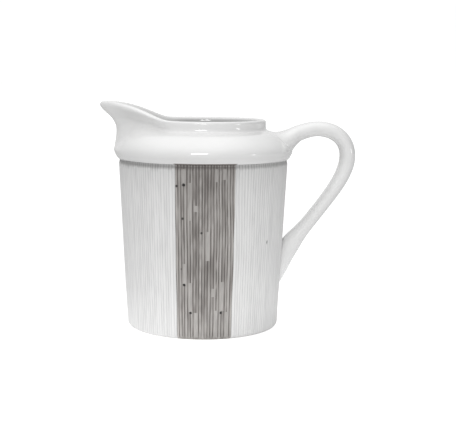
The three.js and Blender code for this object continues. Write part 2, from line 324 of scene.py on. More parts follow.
def turned_piece(name, profile, columns=240):
    """A closed piece turned about the barrel's axis from an anticlockwise [radius, height] loop."""
    profile = np.asarray(profile, float)
    angles = np.arange(columns) * 2 * math.pi / columns
    rows = len(profile)
    points = [
        (radius * math.cos(angle), radius * math.sin(angle), height)
        for angle in angles
        for radius, height in profile
    ]
    faces = []
    for column in range(columns):
        here = column * rows
        following = (column + 1) % columns * rows
        for row in range(rows):
            up = (row + 1) % rows
            faces.append([here + row, following + row, following + up, here + up])
    return make_piece(name, points, faces)


def tube_faces(rings, sides):
    """Faces of a capped tube over rings of points."""
    faces = []
    for ring in range(rings - 1):
        here = ring * sides
        following = here + sides
        for side in range(sides):
            beside = (side + 1) % sides
            faces.append([here + side, following + side, following + beside, here + beside])
    faces.append(list(range(sides)))
    faces.append(list(range((rings - 1) * sides, rings * sides))[::-1])
    return faces


def finish_piece(piece, material, node):
    """Gives a piece its material, and puts it on the body in its CAD node's place."""
    piece.data.materials.append(material)
    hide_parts(node)
    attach(piece, "root")


# ---- Barrel relief -----------------------------------------------------------------------------------

# Angles here are in degrees from the middle of the band on their own side of the jug, towards the handle.
# The back is the front's mirror image.

# Planks: a groove that is missing for a stretch, as its number from the band's middle and its lowest and
# highest millimetre.
PLANKS = [
    (-7, 62.9, 68.8), (-5, 48.4, 63.4), (4, 63.8, 68.9), (7, 64.6, 68.9), (-3, 52.0, 54.4),
    (1, 32.5, 44.1), (-7, 23.0, 31.1), (-5, 11.7, 23.5), (6, 12.1, 23.9), (3, 17.9, 21.2),
    (-3, 1.2, 11.4), (4, 1.2, 12.2), (8, 1.2, 11.6),
]
# Nail-like dots, as angle, height, radius and strength.
DOTS = [
    (-14.1, 62.5, 0.62, 1), (-18.9, 62.0, 0.50, 0.9), (-15.0, 49.2, 0.50, 0.85), (-2.3, 43.6, 0.46, 0.9),
    (-16.2, 29.0, 0.32, 0.6), (-14.3, 22.6, 0.55, 1), (-9.8, 11.3, 0.50, 1), (11.7, 11.3, 0.50, 1),
    (49.0, 38.4, 0.40, 1),
]
# Soft dark patches in the grey, as angle, height, radius and strength.
PATCHES = [(-3.5, 61.0, 4.5, 0.2), (1.0, 28.0, 5.0, 0.16), (-12.0, 44.0, 4.0, 0.1)]
DOT_DEPTH = 0.12
DOT_SOFTNESS = 0.6
PATCH_SOFTNESS = 2.0
FAN_SHIFT = 1.7              # degrees that the upper grooves lean over, most of it near the fan's angle
FAN_ANGLE = 20
FAN_WIDTH = 13
FAN_START_Z = 36
FAN_RISE = 28
GROOVE_STRENGTH = 0.85       # about which each groove's own waves vary
WEAKEST_GROOVE = 0.3


def barrel_radius(heights):
    """The radius of the barrel's plain cone."""
    taper = (BARREL_TOP_RADIUS - FOOT_RADIUS) / (BARREL_TOP_Z - FOOT_HEIGHT)
    return FOOT_RADIUS + taper * (heights - FOOT_HEIGHT)


def barrel_profile(row_step, extra_heights=()):
    """The barrel's outside before its ribs, from the glaze line up: radii and heights."""
    centre = FOOT_RADIUS - FOOT_EDGE_RADIUS
    start = math.asin((GLAZE_LINE_Z - FOOT_EDGE_RADIUS) / FOOT_EDGE_RADIUS)
    bend = np.linspace(start, 0, CORNER_ROWS, endpoint=False)
    corner_radii = centre + FOOT_EDGE_RADIUS * np.cos(bend)
    corner_heights = FOOT_EDGE_RADIUS * (1 + np.sin(bend))
    cove_start = BARREL_TOP_Z - COVE_HEIGHT
    even = np.linspace(FOOT_EDGE_RADIUS, cove_start, round((cove_start - FOOT_EDGE_RADIUS) / row_step))
    extra = [z for z in extra_heights if FOOT_EDGE_RADIUS < z < cove_start]
    heights = np.unique(np.round(np.concatenate([even, extra]), 3))
    cove_heights = np.linspace(cove_start, BARREL_TOP_Z, COVE_ROWS + 1)[1:]
    sunk = COVE_DEPTH * smooth_step((cove_heights - cove_start) / (COVE_SHARE * COVE_HEIGHT))
    radii = np.concatenate([corner_radii, barrel_radius(heights), barrel_radius(cove_heights) - sunk])
    return radii, np.concatenate([corner_heights, heights, cove_heights])


def band_profile():
    """The band's profile, with rows close together at its dots and at the ends of its planks."""
    across_dot = (-1.2, -0.8, -0.4, 0, 0.4, 0.8, 1.2)
    near_dots = [height + share * size for _, height, size, _ in DOTS for share in across_dot]
    near_ends = [end + beside for plank in PLANKS for end in plank[1:] for beside in (-0.08, 0.08)]
    return barrel_profile(BAND_ROW_STEP, near_dots + near_ends)


def make_waves(count, size, shortest, longest):
    """Random slow waves up the barrel: size, wavelength, phase and turns round the barrel."""
    return [
        (
            size * rng.uniform(0.5, 1),
            rng.uniform(shortest, longest),
            rng.uniform(0, 2 * math.pi),
            int(rng.integers(2, 14)),
        )
        for _ in range(count)
    ]


def add_up(waves, heights):
    """The sum of the waves at these heights."""
    return sum(size * np.sin(2 * math.pi * heights / length + phase) for size, length, phase, _ in waves)


GROOVES = range(-OUTERMOST_GROOVE, OUTERMOST_GROOVE + 1)
WANDER = make_waves(5, 0.09, 20, 60)
GROOVE_JITTER = {number: rng.normal(0, 0.12) for number in GROOVES}
GROOVE_WAVES = {number: make_waves(3, 0.2, 6, 40) for number in GROOVES}
RIB_TONE = {number: rng.uniform(-0.6, 0.6) for number in GROOVES}
RIB_WAVES = {number: make_waves(4, 0.3, 5, 45) for number in GROOVES}


def groove_angle(number, heights):
    """Where a groove runs."""
    rest = RIB_PITCH * number + GROOVE_JITTER[number]
    lean = FAN_SHIFT * math.exp(-(((rest - FAN_ANGLE) / FAN_WIDTH) ** 2))
    wander = sum(
        size * math.sin(math.radians(2 * turns * rest)) * np.cos(2 * math.pi * heights / length + phase)
        for size, length, phase, turns in WANDER
    )
    return rest - lean * smooth_step((heights - FAN_START_Z) / FAN_RISE) + wander


def relief(angles, heights):
    """Over (columns, rows): groove depth from 0 to 1, rib tone from -1 to 1, and 1 on the planks."""
    groove = np.zeros(angles.shape)
    tone = np.zeros(angles.shape)
    on_plank = np.zeros(angles.shape)
    below = np.zeros(len(heights))
    for number in GROOVES:
        beside = angles - groove_angle(number, heights)
        plank = np.zeros(len(heights), bool)
        for plank_number, low, high in PLANKS:
            if plank_number == number:
                plank |= (heights > low) & (heights < high)
        strength = np.clip(GROOVE_STRENGTH + add_up(GROOVE_WAVES[number], heights), WEAKEST_GROOVE, 1)
        strength = np.where(plank, 0, strength)
        groove = np.maximum(groove, strength * np.exp(-((beside / GROOVE_WIDTH) ** 2)))
        above = np.where(plank, below, RIB_TONE[number] + add_up(RIB_WAVES[number], heights))
        tone += ease_between(beside, RIB_STEP) * (above - below)
        below = above
        across = 1 - ease_between(np.abs(beside) / RIB_PITCH, PLANK_EDGE)
        on_plank = np.maximum(on_plank, across * plank)
    return groove, np.clip(tone, -1, 1), on_plank


def spots(marks, angles, radii, heights, softness):
    """The strength of round marks, fading out at their edge over a share of their radius."""
    strength_here = np.zeros(angles.shape)
    for angle, height, size, strength in marks:
        across = np.radians(angles - angle) * radii
        distance = np.hypot(across, heights - height)
        inside = 1 - smooth_step((distance / size - 1) / softness + 0.5)
        strength_here = np.maximum(strength_here, strength * inside)
    return strength_here


def barrel_surface(angles, radii, heights, groove_depth):
    """Radius over (columns, rows), and layers: lightness from 0 in a groove to 1 on a plank, dots, painted
    shade under the collar.
    """
    groove, tone, on_plank = relief(angles, heights)
    groove = groove * ease_between(heights, GROOVE_START_Z)
    dots = spots(DOTS, angles, radii, heights, DOT_SOFTNESS)
    rib = RIB_LIGHTNESS + RIB_CONTRAST * tone
    rib = rib + (PLANK_LIGHTNESS - rib) * on_plank
    lightness = rib * (1 - groove) - spots(PATCHES, angles, radii, heights, PATCH_SOFTNESS)
    # Painted shade under the collar: darkest just below its edge, deeper in the grooves, stronger towards the
    # spout.
    under_collar = BARREL_TOP_Z - heights
    across_shade = (under_collar - COLLAR_SHADE_DEPTH) / (COLLAR_SHADE_REACH * (1 + COLLAR_SHADE_UNEVENNESS * tone))
    strength = COLLAR_SHADE_STRENGTH - COLLAR_SHADE_LEAN * np.tanh(angles / COLLAR_SHADE_LEAN_ANGLE) + COLLAR_SHADE_IN_GROOVES * groove
    collar_shade = np.exp(-(across_shade**2)) * strength
    # A painted highlight line along the collar's lower edge, on the bands only.
    on_highlight_line = np.exp(-(((under_collar - HIGHLIGHT_LINE_DEPTH) / HIGHLIGHT_LINE_HALF_WIDTH) ** 2))
    collar_shade = collar_shade * (1 - HIGHLIGHT_LINE_STRENGTH * on_highlight_line * (np.abs(angles) < BAND_HALF_ANGLE))
    # A faint painted shade that fades slowly down the wall below the collar.
    collar_shade = np.maximum(collar_shade, COLLAR_SHADE_TAIL * np.exp(-under_collar / COLLAR_SHADE_TAIL_REACH))
    radius = radii - groove_depth * groove - DOT_DEPTH * dots
    return radius, {"lightness": np.clip(lightness, 0, 1), "dot": dots, "collar_shade": collar_shade}


def side_grid(angles, radius, heights, side):
    """Points over (columns, rows) on the front, side -1, or the back, side 1."""
    turn = np.radians(angles)
    heights = np.broadcast_to(heights, radius.shape)
    return np.stack([radius * np.sin(turn), side * radius * np.cos(turn), heights], axis=2)


def band_edge(heights):
    """Half the band's angle, which bows out half way up and ripples a little."""
    bow = BAND_BOW * np.sin(math.pi * heights / BARREL_TOP_Z)
    return BAND_HALF_ANGLE + bow + BAND_RIPPLE * np.sin(heights / BAND_RIPPLE_LENGTH)


def build_band(name, side, material, node):
    radii, heights = band_profile()
    share = -side * np.linspace(-1, 1, BAND_COLUMNS + 1)[:, None]
    angles = share * band_edge(heights)
    radius, layers = barrel_surface(angles, radii, heights, BAND_GROOVE_DEPTH)
    radius = radii + (radius - radii) * smooth_step((1 - np.abs(share)) / BAND_EDGE_SHARE)
    outer = side_grid(angles, radius, heights, side)
    back = radii - BAND_THICKNESS + 0 * angles
    inner = side_grid(angles, back, heights, side)
    piece = sheet_piece(name, outer, inner, False, layers)
    finish_piece(piece, material, node)


def half_ring_angles(heights):
    """Angles from 90 down to -90 over (columns, rows), and which columns are behind the band."""
    edge = band_edge(heights)
    open_angles = edge + np.linspace(1, 0, WALL_COLUMNS + 1)[:, None] * (90 - edge)
    pocket_angles = edge * np.linspace(1, -1, POCKET_COLUMNS + 1)[:, None]
    angles = np.concatenate([open_angles, pocket_angles, -open_angles[::-1]])
    column = np.arange(len(angles))
    behind_band = (column > WALL_COLUMNS) & (column <= WALL_COLUMNS + POCKET_COLUMNS + 1)
    return angles, behind_band


def build_wall(material):
    """The white ribbed wall, recessed behind the two bands."""
    radii, heights = barrel_profile(WALL_ROW_STEP)
    half_ring, behind_band = half_ring_angles(heights)
    grids = []
    halves = []
    for side in (1, -1):
        angles = side * half_ring
        radius, layers = barrel_surface(angles, radii, heights, WALL_GROOVE_DEPTH)
        from_edge = np.abs(angles) - band_edge(heights)
        radius = radii + (radius - radii) * smooth_step(from_edge / WALL_EDGE_ANGLE)
        radius[behind_band] = radii - BAND_THICKNESS
        grids.append(side_grid(angles, radius, heights, side)[:-1])
        halves.append(layers)
    outer = np.concatenate(grids)
    turn = np.arctan2(outer[:, :, 1], outer[:, :, 0])
    inner_heights = np.broadcast_to(np.maximum(heights, FOOT_HEIGHT), turn.shape)
    inside = barrel_radius(inner_heights) - WALL_THICKNESS
    inner = np.stack([inside * np.cos(turn), inside * np.sin(turn), inner_heights], axis=2)
    layers = {name: np.concatenate([half[name][:-1] for half in halves]) for name in halves[0]}
    piece = sheet_piece("porcelain_barrel", outer, inner, True, layers)
    finish_piece(piece, material, "body_wall")


# ---- Collar, shoulder, neck and spout ----------------------------------------------------------------

# The shell's section from the collar's foot up the outside and over the lip, then down the inside. Each
# entry is radius and height on the round part, then distance and height along the spout's keel. The
# middle entry is the lip's crest, with as many entries before it as after.
SHELL_SECTION = [
    (34.6, 70.3, 34.6, 70.3),
    (35.3, 70.35, 35.3, 70.35),
    (35.7, 70.8, 35.7, 70.8),
    (36.15, 71.35, 36.15, 71.35),
    (36.4, 71.95, 36.4, 71.95),
    (36.85, 72.7, 36.85, 72.7),
    (37.2, 73.9, 37.1, 73.9),
    (36.9, 75.5, 36.8, 75.8),
    (35.5, 77.5, 36.25, 78.4),
    (33.1, 79.5, 36.0, 81.0),
    (30.4, 81.1, 36.0, 82.8),
    (27.8, 81.8, 36.3, 84.3),
    (26.35, 82.3, 37.1, 85.9),
    (25.85, 83.3, 38.3, 87.6),
    (25.9, 84.9, 41.2, 90.0),
    (26.0, 86.2, 43.2, 92.4),
    (25.0, 86.8, 41.8, 94.1),
    (23.9, 86.3, 39.7, 93.1),
    (23.3, 85.3, 38.0, 91.3),
    (23.2, 84.1, 35.6, 88.4),
    (23.4, 82.7, 34.5, 86.6),
    (24.6, 81.0, 33.7, 84.9),
    (27.0, 79.4, 33.1, 82.4),
    (30.0, 77.8, 33.0, 80.2),
    (32.3, 76.3, 33.3, 77.8),
    (33.7, 75.0, 33.9, 75.6),
    (34.1, 73.8, 34.1, 74.0),
    (33.7, 72.9, 33.7, 72.9),
    (32.9, 72.2, 32.9, 72.2),
    (32.4, 71.6, 32.4, 71.6),
    (32.2, 71.1, 32.2, 71.1),
    (32.2, 70.7, 32.2, 70.7),
    (32.2, 70.3, 32.2, 70.3),
]
CREST_SPAN = 16
COLLAR_SPANS = 4             # section spans that belong to the collar
BULGE_SPANS = 7              # up to here the shoulder goes right round
NECK_SPANS = 11              # from here up is the neck
MOUTH_SHADE_START = 0.6      # painted shade inside the mouth starts this many section spans under the crest
MOUTH_SHADE_SPANS = 2.0      # and comes in over this many
MOUTH_SHADE_ANGLES = (40, 80)        # degrees from the spout's middle over which it comes in
PAINTED_EDGE = 0.6           # how far the band's paint reaches up the collar


def spout_rise(angles):
    """How much of the way each angle's heights are from the round part's to the keel's."""
    share = (SPOUT_RISE_START - np.abs(angles)) / (SPOUT_RISE_START - SPOUT_RISE_END)
    share = np.clip((share + np.hypot(share, SPOUT_RISE_EASE)) / 2, 0, 1)
    return 0.5 * share + 0.5 * smooth_step(share)


def spout_relief(angles, place):
    """How far the spout's skin stands out, over (angles, places along the section): roll, hollow, fold."""
    from_keel = np.abs(angles)[:, None]
    on_flank = ease_between(from_keel, FLANK_FADE) * (1 - ease_between(from_keel, FLANK_END))
    roll = ROLL_OUT * np.exp(-((place - ROLL_SPAN) ** 2))
    hollow = HOLLOW_DEPTH * np.exp(-(((place - HOLLOW_SPAN) / HOLLOW_HALF_SPANS) ** 2))
    beside_keel = np.exp(-(((from_keel - FOLD_ANGLE) / FOLD_WIDTH) ** 2))
    from_middle = np.abs(place - FOLD_MIDDLE_SPAN)
    along = smooth_step(FOLD_END_STEEPNESS * (1 - from_middle / FOLD_HALF_SPANS))
    return on_flank * (roll - hollow) - FOLD_DEPTH * beside_keel * along


def shell_grid(angles):
    """Points of the whole shell over (angles, rows). The angles are in degrees from the spout."""
    section = b_spline(SHELL_SECTION, ROWS_PER_SPAN)
    round_radius, round_height, keel_reach, keel_height = section.T
    reach = np.maximum(keel_reach, round_radius)
    tangent = np.degrees(np.arccos(round_radius / reach))
    rounded = np.hypot(angles, KEEL_ROUNDING) - KEEL_ROUNDING
    lead = tangent[None, :] - rounded[:, None]
    eased = (lead + np.hypot(lead, FLANK_EASE)) / 2
    fade = smooth_step(tangent / TANGENT_FADE)[None, :]
    place = np.arange(len(section)) / ROWS_PER_SPAN
    radius = round_radius / np.cos(np.radians(eased * fade)) + spout_relief(angles, place)
    rise = spout_rise(angles)[:, None]
    heights = round_height + rise * (keel_height - round_height)
    turn = math.pi + np.radians(angles)[:, None]
    return np.stack([radius * np.cos(turn), radius * np.sin(turn), heights], axis=2)


def shell_angles():
    """Columns close together across the spout and further apart round the back, from -180 to 180."""
    across_spout = np.arange(-FINE_HALF_ANGLE, FINE_HALF_ANGLE, FINE_STEP)
    round_the_back = np.arange(FINE_HALF_ANGLE, 360 - FINE_HALF_ANGLE, COARSE_STEP)
    every = np.concatenate([across_spout, round_the_back])
    return (every + 180) % 360 - 180


def shell_layers(angles, outer):
    """Per skin, where the band's paint reaches up onto the collar, and where shade is painted inside the
    mouth.
    """
    turn = np.radians(180 + angles)
    painted = np.abs(np.sin(turn)) > math.cos(math.radians(BAND_HALF_ANGLE))
    low_edge = outer[:, :, 2] < BARREL_TOP_Z + PAINTED_EDGE
    paint = (painted[:, None] & low_edge).astype(float)
    # Painted shade inside the mouth, growing from under the lip and away from the spout.
    below_crest = CREST_SPAN - np.arange(outer.shape[1]) / ROWS_PER_SPAN
    deep = smooth_step((below_crest - MOUTH_SHADE_START) / MOUTH_SHADE_SPANS)
    inside = deep[None, :] * ease_between(np.abs(angles), MOUTH_SHADE_ANGLES)[:, None]
    unset = np.zeros(paint.shape)
    return {"paint": (paint, unset), "inside": (unset, inside)}


def build_shell(glaze, collar_material):
    angles = shell_angles()
    grid = shell_grid(angles)
    normals = grid_normals(grid, wrap_columns=True)
    crest = CREST_SPAN * ROWS_PER_SPAN
    outer = grid[:, : crest + 1]
    inner = grid[:, crest:][:, ::-1]
    both_normals = (normals[:, : crest + 1], normals[:, crest:][:, ::-1])
    layers = shell_layers(angles, outer)
    in_spout = (np.abs(angles) < SPOUT_HALF_ANGLE)[:, None]
    all_round = np.ones(in_spout.shape, bool)
    row = np.arange(crest)[None, :] / ROWS_PER_SPAN
    masks = {
        "collar": all_round & (row < COLLAR_SPANS),
        "shoulder": (row >= COLLAR_SPANS) & ((row < BULGE_SPANS) | (~in_spout & (row < NECK_SPANS))),
        "neck_rim": ~in_spout & (row >= NECK_SPANS),
        "spout": in_spout & (row >= BULGE_SPANS),
    }
    for node, cells in masks.items():
        material = collar_material if node == "collar" else glaze
        piece = slab_piece("porcelain_" + node, outer, inner, cells, both_normals, layers)
        finish_piece(piece, material, node)


# ---- Handle ------------------------------------------------------------------------------------------

# The handle's middle line from the root's outer end: x and z, half its thickness in its own plane and
# half its width across it.
HANDLE_LINE = [
    (40.1, 81.2, 3.3, 4.8),
    (44.4, 82.7, 3.1, 4.5),
    (48.9, 83.1, 3.1, 4.5),
    (54.0, 82.0, 3.2, 4.5),
    (58.3, 79.0, 3.2, 4.5),
    (60.4, 74.6, 3.25, 4.5),
    (60.6, 70.0, 3.3, 4.5),
    (59.3, 65.3, 3.2, 4.5),
    (56.7, 60.2, 3.05, 4.5),
    (53.6, 55.6, 2.9, 4.5),
    (50.2, 51.0, 2.85, 4.5),
    (46.8, 46.6, 2.85, 4.5),
    (43.4, 42.3, 2.85, 4.6),
    (40.1, 38.4, 3.3, 4.8),
    (37.0, 34.6, 4.2, 5.0),
    (34.5, 29.6, 3.8, 5.0),
    (32.9, 24.2, 2.9, 4.7),
    (32.0, 19.8, 1.7, 3.8),
    (31.5, 17.4, 0.7, 2.2),
]
HANDLE_RINGS_PER_SPAN = 14
HANDLE_SIDES = 56
HANDLE_SQUARENESS = 0.95     # 1 would be an ellipse, and less is squarer
TERMINAL_SPAN = 13           # where the terminal starts along the handle's line
BURIED = 1.2                 # how deep the terminal and the root's end sit in the wall

ROOT_MIDDLE_SPAN = 8.4       # where the root sits along the shell's section
ROOT_HALF_SPANS = 2.6        # half its height, in section spans
ROOT_HALF_ANGLE = 23
ROOT_RINGS = 32
ROOT_PULL_ABOVE = 13         # how gently the root leaves the shoulder on its upper side
ROOT_PULL_BELOW = 3
ROOT_SINK = 0.04             # how far the root's edge is under the shoulder's skin
SKIN_STEPS = 20              # points for each section span in the root's copy of the shoulder


def squared(values):
    """A cosine or sine, pushed out a little towards a rounded rectangle."""
    return np.sign(values) * np.abs(values) ** HANDLE_SQUARENESS


def bow_rings():
    """Rings of the handle from the root's end to the tip, as a (rings, sides, 3) grid."""
    line = b_spline(HANDLE_LINE, HANDLE_RINGS_PER_SPAN)
    along = np.gradient(line[:, :2], axis=0)
    along /= np.linalg.norm(along, axis=1, keepdims=True)
    outwards = np.column_stack([-along[:, 1], along[:, 0]])
    turn = np.linspace(0, 2 * math.pi, HANDLE_SIDES, endpoint=False)
    up = squared(np.cos(turn))
    across = squared(np.sin(turn))
    thick = line[:, 2:3] * up
    x = line[:, 0:1] + thick * outwards[:, 0:1]
    z = line[:, 1:2] + thick * outwards[:, 1:2]
    y = line[:, 3:4] * across
    return np.stack([x, y, z], axis=2), along


def bury(rings):
    """Keeps the terminal's points out of the jug: inside the wall they stop a little under its surface."""
    floor = barrel_radius(rings[:, :, 2]) - BURIED
    distance = np.hypot(rings[:, :, 0], rings[:, :, 1])
    below = (rings[:, :, 2] < BARREL_TOP_Z) & (distance < floor)
    scale = np.where(below, floor / distance, 1)
    rings[:, :, 0] *= scale
    rings[:, :, 1] *= scale
    return rings


def shoulder_points(spans, angles, depth):
    """Points on the plain shoulder at section spans and angles from the handle, sunk by a depth."""
    section = b_spline(SHELL_SECTION, SKIN_STEPS)[:, :2]
    slope = np.gradient(section, axis=0)
    slope /= np.linalg.norm(slope, axis=1, keepdims=True)
    place = spans * SKIN_STEPS
    index = np.arange(len(section))
    radius = np.interp(place, index, section[:, 0]) - depth * np.interp(place, index, slope[:, 1])
    height = np.interp(place, index, section[:, 1]) + depth * np.interp(place, index, slope[:, 0])
    turn = np.radians(angles)
    return np.column_stack([radius * np.cos(turn), radius * np.sin(turn), height])


def root_rings(first_bow_ring, direction):
    """Rings that flare from the bow down onto the shoulder, tangent to both."""
    turn = np.linspace(0, 2 * math.pi, HANDLE_SIDES, endpoint=False)

    def on_shoulder(size, depth):
        spans = ROOT_MIDDLE_SPAN + size * ROOT_HALF_SPANS * np.cos(turn)
        angles = size * ROOT_HALF_ANGLE * np.sin(turn)
        return shoulder_points(spans, angles, depth)

    body = on_shoulder(1.0, ROOT_SINK)
    inwards = on_shoulder(0.99, ROOT_SINK) - body
    inwards /= np.linalg.norm(inwards, axis=1, keepdims=True)
    pull = ROOT_PULL_BELOW + (ROOT_PULL_ABOVE - ROOT_PULL_BELOW) * (1 + np.cos(turn[:, None])) / 2
    pull_body = pull * inwards
    pull_bow = pull * np.array([direction[0], 0, direction[1]])
    rings = [on_shoulder(0.8, BURIED)]
    for t in np.linspace(0, 1, ROOT_RINGS, endpoint=False):
        from_body = (2 * t**3 - 3 * t**2 + 1) * body + (t**3 - 2 * t**2 + t) * pull_body
        from_bow = (3 * t**2 - 2 * t**3) * first_bow_ring + (t**3 - t**2) * pull_bow
        rings.append(from_body + from_bow)
    return np.array(rings)


def build_handle(glaze):
    bow, along = bow_rings()
    bow = bury(bow)
    root = root_rings(bow[0], along[0])
    rings = np.concatenate([root, bow])
    normals = grid_normals(rings, wrap_rows=True)
    bow_start = len(root)
    terminal_start = bow_start + TERMINAL_SPAN * HANDLE_RINGS_PER_SPAN
    stretches = {
        "handle_upper_root": (0, bow_start),
        "handle_bow": (bow_start, terminal_start),
        "handle_lower_terminal": (terminal_start, len(rings) - 1),
    }
    for node, (first, last) in stretches.items():
        part = rings[first : last + 1]
        faces = tube_faces(len(part), HANDLE_SIDES)
        piece = make_piece("porcelain_" + node, part.reshape(-1, 3), faces, normals[first : last + 1])
        finish_piece(piece, glaze, node)


# ---- Foot and floor ----------------------------------------------------------------------------------


def build_foot(material):
    edge = math.asin((FOOT_EDGE_RADIUS - GLAZE_LINE_Z) / FOOT_EDGE_RADIUS)
    glaze_radius = FOOT_RADIUS - FOOT_EDGE_RADIUS * (1 - math.cos(edge))
    profile = b_spline([
        (27.0, 2.1), (27.1, 1.2), (27.5, 0.35), (28.3, 0.0), (29.0, 0.0), (29.6, 0.0),
        (30.2, 0.08), (glaze_radius, GLAZE_LINE_Z),
    ], 5)
    top = [(28.7, FOOT_HEIGHT), (27.0, FOOT_HEIGHT)]
    piece = turned_piece("porcelain_foot", np.vstack([profile, top]))
    finish_piece(piece, material, "foot_ring")


def build_floor_disc(material):
    under = b_spline([(0.01, 2.45), (12, 2.4), (22, 2.3), (26, 2.2), (28.4, 2.2)], 6)
    over = b_spline([
        (28.8, 7.2), (28.4, 6.3), (27.3, 5.6), (25.0, 5.4), (20, 5.4), (10, 5.4), (0.01, 5.4),
    ], 6)
    piece = turned_piece("porcelain_floor", np.vstack([under, over]), 180)
    finish_piece(piece, material, "floor_disc")


# ---- Materials ---------------------------------------------------------------------------------------


def new_material(name):
    material = bpy.data.materials.new(name)
    material.use_nodes = True
    nodes = material.node_tree.nodes
    return material, nodes, material.node_tree.links, nodes["Principled BSDF"]


def add_noise(nodes, links, scale, detail, stretch=(1, 1, 1)):
    """Object-space noise, so the pattern stays with the piece."""
    place = nodes.new("ShaderNodeTexCoord")
    mapping = nodes.new("ShaderNodeMapping")
    mapping.inputs["Scale"].default_value = stretch
    noise = nodes.new("ShaderNodeTexNoise")
    noise.inputs["Scale"].default_value = scale
    noise.inputs["Detail"].default_value = detail
    links.new(place.outputs["Object"], mapping.inputs["Vector"])
    links.new(mapping.outputs["Vector"], noise.inputs["Vector"])
    return noise


def add_ramp(nodes, links, source, stops):
    """A colour ramp with (position, colour) stops, driven by source."""
    ramp = nodes.new("ShaderNodeValToRGB")
    elements = ramp.color_ramp.elements
    while len(elements) < len(stops):
        elements.new(0.5)
    for element, (position, colour) in zip(elements, stops):
        element.position = position
        element.color = (*colour, 1)
    links.new(source, ramp.inputs["Fac"])
    return ramp


def grey_stops(shares):
    return [(position, (share, share, share)) for position, share in shares]


def add_attribute(nodes, name):
    attribute = nodes.new("ShaderNodeAttribute")
    attribute.attribute_name = name
    return attribute


def add_mix(nodes, links, factor, first, second, mode="MIX"):
    mix = nodes.new("ShaderNodeMix")
    mix.data_type = "RGBA"
    mix.blend_type = mode
    for socket, value in (("Factor", factor), ("A", first), ("B", second)):
        target = next(s for s in mix.inputs if s.name == socket and s.type in ("RGBA", "VALUE") and s.enabled)
        if hasattr(value, "is_linked"):
            links.new(value, target)
        elif socket == "Factor":
            target.default_value = value
        else:
            target.default_value = (*value, 1)
    return next(s for s in mix.outputs if s.type == "RGBA" and s.enabled)


def add_bump(nodes, links, source, strength, distance, shader):
    bump = nodes.new("ShaderNodeBump")
    bump.inputs["Strength"].default_value = strength
    bump.inputs["Distance"].default_value = distance
    links.new(source, bump.inputs["Height"])
    links.new(bump.outputs["Normal"], shader.inputs["Normal"])


def glazed_porcelain(name="glazed_porcelain"):
    """Bright white glaze with painted shade inside the mouth, faintly cloudy, with the slightest orange peel.
    """
    material, nodes, links, shader = new_material(name)
    clouds = add_noise(nodes, links, 45, 3)
    white = add_ramp(nodes, links, clouds.outputs["Fac"], [
        (0.3, (0.80, 0.80, 0.797)), (0.7, (0.83, 0.83, 0.827)),
    ])
    inside = add_attribute(nodes, "inside")
    # Painted shade inside the mouth: the glaze goes to this grey there.
    mouth_shaded = add_mix(nodes, links, inside.outputs["Fac"], white.outputs["Color"], (0.48, 0.48, 0.478))
    links.new(mouth_shaded, shader.inputs["Base Color"])
    shader.inputs["Roughness"].default_value = 0.06
    shader.inputs["Coat Weight"].default_value = 1.0
    shader.inputs["Coat Roughness"].default_value = 0.03
    shader.inputs["IOR"].default_value = 1.5
    peel = add_noise(nodes, links, 220, 2)
    add_bump(nodes, links, peel.outputs["Fac"], 0.03, 0.0005, shader)
    return material


def collar_porcelain():
    """The same glaze, with the band's grey carried up onto the collar's lower edge."""
    material = glazed_porcelain("collar_porcelain")
    nodes = material.node_tree.nodes
    links = material.node_tree.links
    shader = nodes["Principled BSDF"]
    glaze = shader.inputs["Base Color"].links[0].from_socket
    paint = add_attribute(nodes, "paint")
    painted = add_mix(nodes, links, paint.outputs["Fac"], glaze, (0.2, 0.18, 0.168))
    links.new(painted, shader.inputs["Base Color"])
    return material


def ribbed_porcelain():
    """Satin white whose grooves are a little greyer than its ribs, with painted shade under the collar."""
    material, nodes, links, shader = new_material("ribbed_porcelain")
    lightness = add_attribute(nodes, "lightness")
    white = add_ramp(nodes, links, lightness.outputs["Fac"], [
        (0.0, (0.62, 0.62, 0.62)), (0.5, (0.80, 0.80, 0.797)), (1.0, (0.86, 0.86, 0.855)),
    ])
    # Painted shade under the collar darkens the white towards this grey.
    collar_shade = add_attribute(nodes, "collar_shade")
    shaded = add_mix(nodes, links, collar_shade.outputs["Fac"], white.outputs["Color"], (0.27, 0.268, 0.265))
    dot = add_attribute(nodes, "dot")
    dotted = add_mix(nodes, links, dot.outputs["Fac"], shaded, (0.25, 0.25, 0.25))
    links.new(dotted, shader.inputs["Base Color"])
    shader.inputs["Roughness"].default_value = 0.42
    return material


def grey_band():
    """Warm grey lustre, dark where it pools in the grooves and pale on the planks."""
    material, nodes, links, shader = new_material("grey_band")
    lightness = add_attribute(nodes, "lightness")
    grey = add_ramp(nodes, links, lightness.outputs["Fac"], [
        (0.0, (0.115, 0.103, 0.096)), (0.35, (0.27, 0.252, 0.239)),
        (0.6, (0.42, 0.40, 0.383)), (1.0, (0.57, 0.55, 0.532)),
    ])
    streaks = add_noise(nodes, links, 1, 4, (2200, 2200, 160))
    streaky = add_ramp(nodes, links, streaks.outputs["Fac"], [
        (0.3, (0.8, 0.8, 0.8)), (0.7, (1.08, 1.08, 1.08)),
    ])
    mixed = add_mix(nodes, links, 1.0, grey.outputs["Color"], streaky.outputs["Color"], "MULTIPLY")
    # Painted shade under the collar darkens the grey towards this near black.
    collar_shade = add_attribute(nodes, "collar_shade")
    shaded = add_mix(nodes, links, collar_shade.outputs["Fac"], mixed, (0.085, 0.074, 0.069))
    dot = add_attribute(nodes, "dot")
    dotted = add_mix(nodes, links, dot.outputs["Fac"], shaded, (0.012, 0.01, 0.01))
    links.new(dotted, shader.inputs["Base Color"])
    shader.inputs["Roughness"].default_value = 0.42
    return material


